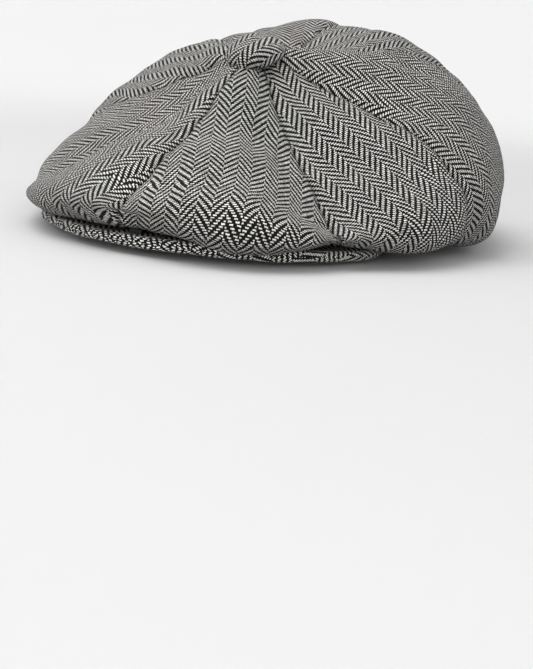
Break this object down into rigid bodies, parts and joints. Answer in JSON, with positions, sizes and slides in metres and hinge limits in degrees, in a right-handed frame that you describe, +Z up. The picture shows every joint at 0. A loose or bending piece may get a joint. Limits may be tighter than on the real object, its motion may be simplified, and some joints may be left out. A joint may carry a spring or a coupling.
{
  "type": "newsboy cap",
  "caption": "Soft wool newsboy cap: panelled crown gathered under a covered button, band round the head, stiff peak at the front.",
  "frame": {"origin": "centre of the head opening, level with the lower edge of the band", "axes": "+Z up out of the crown, -Y to the front over the peak, +X to the wearer's left"},
  "size_m": [0.2378, 0.2764, 0.1091],
  "materials": {
    "tweed": "black and off-white herringbone wool tweed, matt and slightly hairy",
    "lining": "dark satin lining, soft sheen",
    "sweatband": "black cotton twill tape",
    "canvas": "stiff unbleached canvas",
    "board": "moulded polyethylene sheet",
    "thread": "black polyester thread",
    "label": "blank woven label",
    "button_metal": "pressed aluminium",
    "shank_wire": "drawn wire"
  },
  "bodies": {
    "root": {"crown_panel_front_left": "tweed", "crown_panel_front_right": "tweed", "crown_panel_side_front_left": "tweed", "crown_panel_side_front_right": "tweed", "crown_panel_side_rear_left": "tweed", "crown_panel_side_rear_right": "tweed", "crown_panel_back_left": "tweed", "crown_panel_back_right": "tweed", "button_cover": "tweed", "outer_band": "tweed", "peak_top_cover": "tweed", "peak_under_cover": "tweed", "lining_panel_front_left": "lining", "lining_panel_front_right": "lining", "lining_panel_side_front_left": "lining", "lining_panel_side_front_right": "lining", "lining_panel_side_rear_left": "lining", "lining_panel_side_rear_right": "lining", "lining_panel_back_left": "lining", "lining_panel_back_right": "lining", "sweatband": "sweatband", "band_canvas": "canvas", "peak_board": "board", "peak_tacks": "thread", "care_label": "label", "button_mould": "button_metal", "button_back": "button_metal", "button_shank": "shank_wire"}
  },
  "joints": []
}
